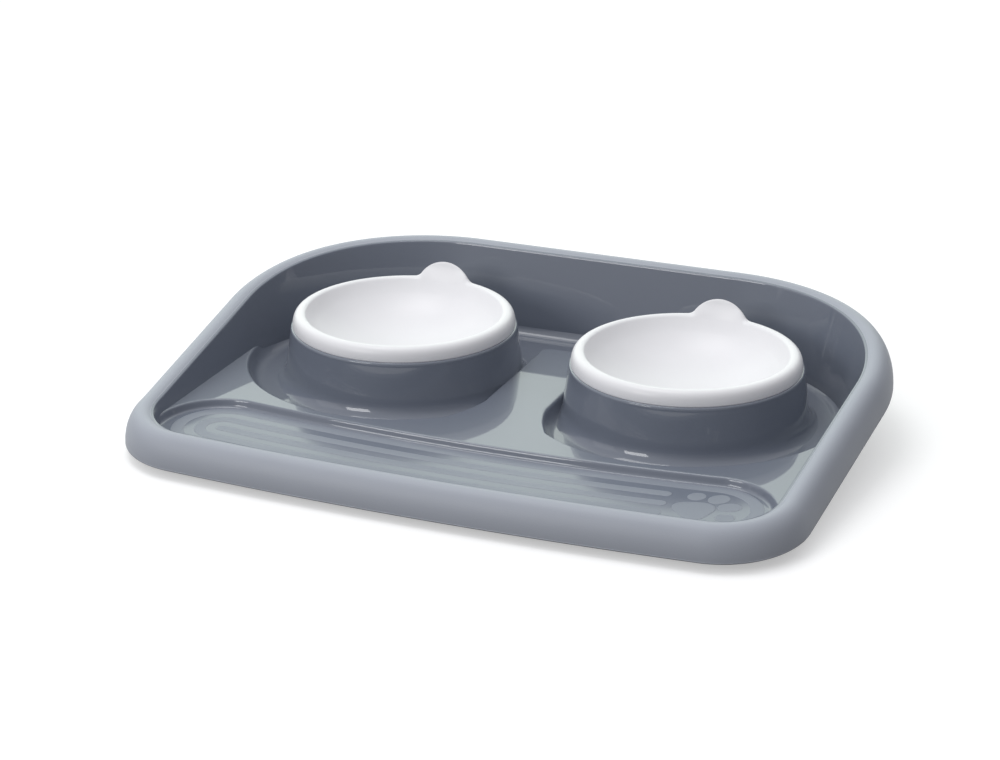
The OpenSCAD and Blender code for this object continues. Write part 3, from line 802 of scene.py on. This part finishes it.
def round_ended(path, width, closed):
    """Stations (point, sideways direction, share of the width) along a path."""
    path = np.array(path)
    ahead, behind = np.roll(path, -1, axis=0), np.roll(path, 1, axis=0)
    if not closed:
        ahead[-1], behind[0] = path[-1], path[0]
    way = ahead - behind
    way /= np.linalg.norm(way, axis=1)[:, None]
    aside = np.stack([way[:, 1], -way[:, 0]], axis=1)
    middle = [(p, n, 1.0) for p, n in zip(path, aside)]
    if closed:
        return middle
    steps, half = [math.sin(a) for a in np.linspace(0, math.pi / 2 - 0.06, 9)[1:]], width / 2
    first = [(path[0] - way[0] * half * c, aside[0], math.sqrt(1 - c * c)) for c in steps[::-1]]
    last = [(path[-1] + way[-1] * half * c, aside[-1], math.sqrt(1 - c * c)) for c in steps]
    return first + middle + last


def lay_bar(name, path, width, closed=False):
    """A flat bar with rounded edges along a path, as a piece of the tray."""
    stations = round_ended(path, width, closed)
    m, n = len(BAR), len(stations)
    points = [(p[0] + a[0] * u * share * width / 2, p[1] + a[1] * u * share * width / 2,
               DRIP_H + v * RIB_H) for p, a, share in stations for u, v in BAR]
    last = n if closed else n - 1
    faces = [(i * m + j, i * m + j + 1, ((i + 1) % n) * m + j + 1, ((i + 1) % n) * m + j)
             for i in range(last) for j in range(m - 1)]
    if not closed:
        faces += [tuple(range(m))[::-1], tuple(range((n - 1) * m, n * m))]
    bar = make_mesh(name, points, [f[::-1] for f in faces], materials=[rib_grey])
    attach(bar, "tray")


# %% Ribs
def row(s, x0, x1, n=60):
    """A bowed line from x0 to x1, s behind the middle row."""
    return [row_point(x, s) for x in np.linspace(x0, x1, n)]


def end_loop(x, r, start, stop, n=24):
    """Part of a circle round an end of the middle row, between two angles in degrees."""
    c = row_point(x, 0)
    tilt = math.asin(x / MID_R)
    turn = np.radians(np.linspace(start, stop, n)[1:-1])
    return [(c[0] + r * math.cos(a + tilt), c[1] + r * math.sin(a + tilt)) for a in turn]


OUTER_W = 1.15 * RIB_W
OUTER_S = 2 * RIB_STEP - RIB_W / 2 + OUTER_W / 2
lay_bar("rib_middle", row(0, -RIB_X, RIB_STOP_X), RIB_W)
lay_bar("rib_loop", row(RIB_STEP, RIB_STOP_X, -RIB_X) + end_loop(-RIB_X, RIB_STEP, 90, 270)
        + row(-RIB_STEP, -RIB_X, RIB_STOP_X), RIB_W)
lay_bar("rib_outer", row(OUTER_S, -RIB_X, RIB_X) + end_loop(RIB_X, OUTER_S, 90, -90)
        + row(-OUTER_S, RIB_X, -RIB_X) + end_loop(-RIB_X, OUTER_S, -90, -270),
        OUTER_W, closed=True)
print("ribs laid")

# %% Paw print
PAW_R, PAW_TURN, TOE_LEAN = 0.012, math.radians(47), math.radians(14)
HEEL_LOBES = 0.11  # how far the heel's three lobes stand out
# Each toe: its place ahead of the heel and aside, half its length and half its width.
TOES = [(0.020, 0.0062, 0.0072, 0.0056), (0.020, -0.0062, 0.0072, 0.0056),
        (0.0105, 0.0152, 0.0058, 0.0050), (0.0105, -0.0175, 0.0058, 0.0050)]
PAW_AT = row_point(SIDE_X - 0.048, -0.004)
PAD_RINGS = [(1.0, -0.6), (1.0, 0.35), (0.975, 0.75), (0.94, 0.97), (0.88, 1.0)]


def pad_mesh(name, outline):
    """A low flat pad with rounded edges over a star-shaped outline."""
    outline = np.array(outline)
    middle = outline.mean(axis=0)
    points = [(*(middle + (p - middle) * share), DRIP_H + v * RIB_H)
              for share, v in PAD_RINGS for p in outline]
    n, last = len(outline), len(PAD_RINGS) - 1
    faces = [(k * n + i, k * n + (i + 1) % n, (k + 1) * n + (i + 1) % n, (k + 1) * n + i)
             for k in range(last) for i in range(n)]
    faces.append(tuple(range(last * n, (last + 1) * n)))
    pad = make_mesh(name, points, faces, materials=[rib_grey])
    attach(pad, "tray")


def turned(px, py, a):
    """A point turned about the origin."""
    return px * math.cos(a) - py * math.sin(a), px * math.sin(a) + py * math.cos(a)


def paw_outline(dx, dy, shape):
    """A shape's outline at its place in the paw, turned with the paw and laid on the tray."""
    spots = [turned(dx + px, dy + py, PAW_TURN) for px, py in shape]
    return [(PAW_AT[0] + px, PAW_AT[1] + py) for px, py in spots]


angles = np.linspace(0, 2 * math.pi, 56, endpoint=False)
radii = [PAW_R * (1 + HEEL_LOBES * math.cos(3 * a)) for a in angles]
heel = [(r * math.cos(a), r * math.sin(a)) for r, a in zip(radii, angles)]
pad_mesh("paw_heel", paw_outline(0, 0, heel))
for i, (dx, dy, a, b) in enumerate(TOES):
    lean = TOE_LEAN * (1 if dy > 0 else -1)
    toe = [turned(a * math.cos(t), b * math.sin(t), lean) for t in angles]
    pad_mesh("paw_toe_%d" % (i + 1), paw_outline(dx, dy, toe))
print("paw print at", PAW_AT)

# %% [markdown]
# ## Foot bosses
# Under the tray four short tubes hold the rubber feet. They are plain turned sections.
# %% Bosses under the floor
PAD_D, PAD_T, PAD_IN = 0.016, 0.005, 0.031
REAR_PAD_R = 0.087  # distance from the bowl's axis, halfway between aside and back
PAD_GAP, BOSS_EDGE, BOSS_SUNK = 0.0002, 0.0004, 0.0005

for side, end in ((-1, "front"), (1, "front"), (-1, "rear"), (1, "rear")):
    if end == "rear":
        off = REAR_PAD_R * math.cos(math.pi / 4)
        spot, top = (side * (BOWL_X + off), BOWL_Y + off), TROUGH_H - WALL + BOSS_SUNK
    else:
        spot, top = (side * (SIDE_X - PAD_IN), FRONT_Y + 1.25 * PAD_IN), DRIP_H - WALL + BOSS_SUNK
    low, r = PAD_LIFT + 0.2 * WALL, PAD_D / 2
    section = [(r - WALL, top), (r - WALL, PAD_T), (r + PAD_GAP, PAD_T), (r + PAD_GAP, low),
               (r + WALL - BOSS_EDGE, low), (r + WALL, low + BOSS_EDGE), (r + WALL, top)]
    boss = turn_section("tray_boss_%s_%s" % (end, "left" if side < 0 else "right"), section,
                        spot, [polished_grey], steps=64)
    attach(boss, "tray")
    print(boss.name, "at", spot)

# %% [markdown]
# ## Bowls
# A bowl is nearly a turned piece, but for the finger tab at its back, where the rim rises in
# a round bump and the inside runs smoothly up into it. So its section is turned like the
# pedestal's, and the upper part of the section is raised by the tab's outline. Turned columns
# stand closer together at the tab.
# %% Outline of the tab
TAB_FILLET = 0.0055
TAB_R = (TAB_W / 2) ** 2 / (4 * TAB_FILLET)


def tab_rise(x):
    """How far the rim is raised at a distance x to the side of the tab's middle."""
    x = abs(x)
    foot = TAB_W / 2
    meet = foot * TAB_R / (TAB_R + TAB_FILLET)
    if x >= foot:
        return 0.0
    if x > meet:
        return TAB_FILLET - math.sqrt(TAB_FILLET ** 2 - (foot - x) ** 2)
    return TAB_H - TAB_R + math.sqrt(TAB_R ** 2 - x * x)


# %% Section of a bowl
BAND_W = 0.006
INNER_START = 0.9 * BOWL_EDGE_R
EDGE_POINT, BAND_TOP = (BOWL_EDGE_R, RIM_TOP - EDGE_DROP), (SEAT_R - BAND_W, RIM_TOP)
TAB_TIP_R, TAB_SIDE_R = SEAT_R - 0.0048, SEAT_R - 0.0035
TAB_TURN = 1.2  # how far the inside has turned over, in radians, at the tab's tip
BLEND_OUT, BLEND_RUN = 0.027, 0.018  # beside the tab the rim turns back into its plain shape
# How much of the tab's rise each point of the rim takes: run, top, outer and band.
LIFT = np.concatenate([
    np.zeros(13), np.linspace(0, 1, 9)[1:],
    [0.998, 0.99, 0.975, 0.955, 0.92, 0.85, 0.7, 0.5, 0.3, 0.14, 0.04], np.zeros(14)])


def inner_run(end, back=0.001):
    """From the inside's curve up to a point of the rim, smoothly."""
    start, before = hull_point(INNER_START, 0), hull_point(INNER_START - back, 0)
    reach = 0.45 * (end[0] - start[0])
    knee = (start[0] + reach, start[1] + reach * (start[1] - before[1]) / back)
    return bezier(start, knee, end, 14)[1:]


def band(first, n):
    """The rim's outer face, from a share of its curve down to the seat."""
    return bezier(BAND_TOP, (SEAT_R - 0.0003, RIM_TOP - 0.0002), (SEAT_R - 0.0004, SEAT_H),
                  n, first)


def rim_profile():
    """(radius, height) points of the plain rim, from the inside to the seat."""
    top = bezier(EDGE_POINT, (BOWL_EDGE_R + 0.0008, RIM_TOP), BAND_TOP, 9)[1:]
    return np.vstack([inner_run(EDGE_POINT), top, band(0, 26)[1:]])


def tab_radii():
    """Radii of the same points where the rim is drawn out into the tab."""
    run = inner_run(EDGE_POINT)[:, 0]
    turn = np.sin(np.linspace(0, TAB_TURN, 9)[1:]) / math.sin(TAB_TURN)
    top = BOWL_EDGE_R + (TAB_TIP_R - BOWL_EDGE_R) * turn
    over = np.sin(np.linspace(0, math.pi / 2, 12)[1:])
    outer = TAB_TIP_R + (TAB_SIDE_R - TAB_TIP_R) * over
    return np.concatenate([run, top, outer, band(0.27, 14)[:, 0]])


def bowl_section(x, rise):
    """(radius, height) points from the middle inside, over the rim and down to the base."""
    share = min(1.0, max(0.0, (BLEND_OUT - abs(x)) / BLEND_RUN))
    share = share * share * (3 - 2 * share)
    shaped = rim_profile()
    shaped[:, 0] += share * (tab_radii() - shaped[:, 0])
    shaped[:, 1] += rise * LIFT
    section = [hull_point(r, 0) for r in np.linspace(0, INNER_START, 30)]
    section += [tuple(p) for p in shaped]
    under = hull_radius(SEAT_H, BOWL_WALL)
    section += [(under + 0.0015, SEAT_H), (under, SEAT_H - 0.0004)]
    section += [hull_point(r, BOWL_WALL) for r in np.linspace(under - 0.0006, BASE_R + 0.003, 18)]
    base = RIM_TOP - BOWL_DEPTH - BOWL_WALL
    section += [(BASE_R + 0.0008, base + 0.0016), (BASE_R, base + 0.0003)]
    section += [(BASE_R - 0.0006, base), (0, base)]
    return section


# %% Bowls
TAB_AT_R = SEAT_R - 0.005  # the radius at which a place beside the tab's middle is measured


def bowl_angles():
    """Columns round the bowl from the tab's middle, closer together at the tab."""
    half = math.asin(TAB_W / 2 / TAB_AT_R) * 1.3
    near = np.linspace(-half, half, 121)
    far = np.linspace(half, 2 * math.pi - half, 150)[1:-1]
    return np.concatenate([near, far])


def bowl_mesh(name, centre):
    """A white bowl: one column of points for each angle, and a middle point inside and below."""
    columns = []
    for a in bowl_angles():
        across = TAB_AT_R * math.sin(a) if math.cos(a) >= 0 else SEAT_R
        columns.append([(centre[0] + r * math.sin(a), centre[1] + r * math.cos(a), z)
                        for r, z in bowl_section(across, tab_rise(across))])
    n, m = len(columns), len(columns[0])
    points = [p for column in columns for p in column]
    faces = [(i * m + j, i * m + j + 1, ((i + 1) % n) * m + j + 1, ((i + 1) % n) * m + j)
             for i in range(n) for j in range(1, m - 2)]
    top, bottom = len(points), len(points) + 1
    points += [(centre[0], centre[1], columns[0][0][2]), (centre[0], centre[1], columns[0][-1][2])]
    for i in range(n):
        k = (i + 1) % n
        faces.append((top, i * m + 1, k * m + 1))
        faces.append((bottom, k * m + m - 2, i * m + m - 2))
    return make_mesh(name, points, [f[::-1] for f in faces], materials=[satin_white])


for side, name in ((-1, "bowl_left"), (1, "bowl_right")):
    bowl = bowl_mesh("white_" + name, (side * BOWL_X, BOWL_Y))
    bowl.data.validate()
    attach(bowl, name)
    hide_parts(name)
    print(bowl.name, len(bowl.data.polygons), "faces")

# %% [markdown]
# ## Rubber feet
# The feet are the CAD's own solids: their shape is right, so they only get the rubber.
# %% Rubber on the feet
for name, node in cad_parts.items():
    if name.startswith("foot_"):
        node.data.materials.clear()
        node.data.materials.append(soft_rubber)
        print(name, "is rubber")
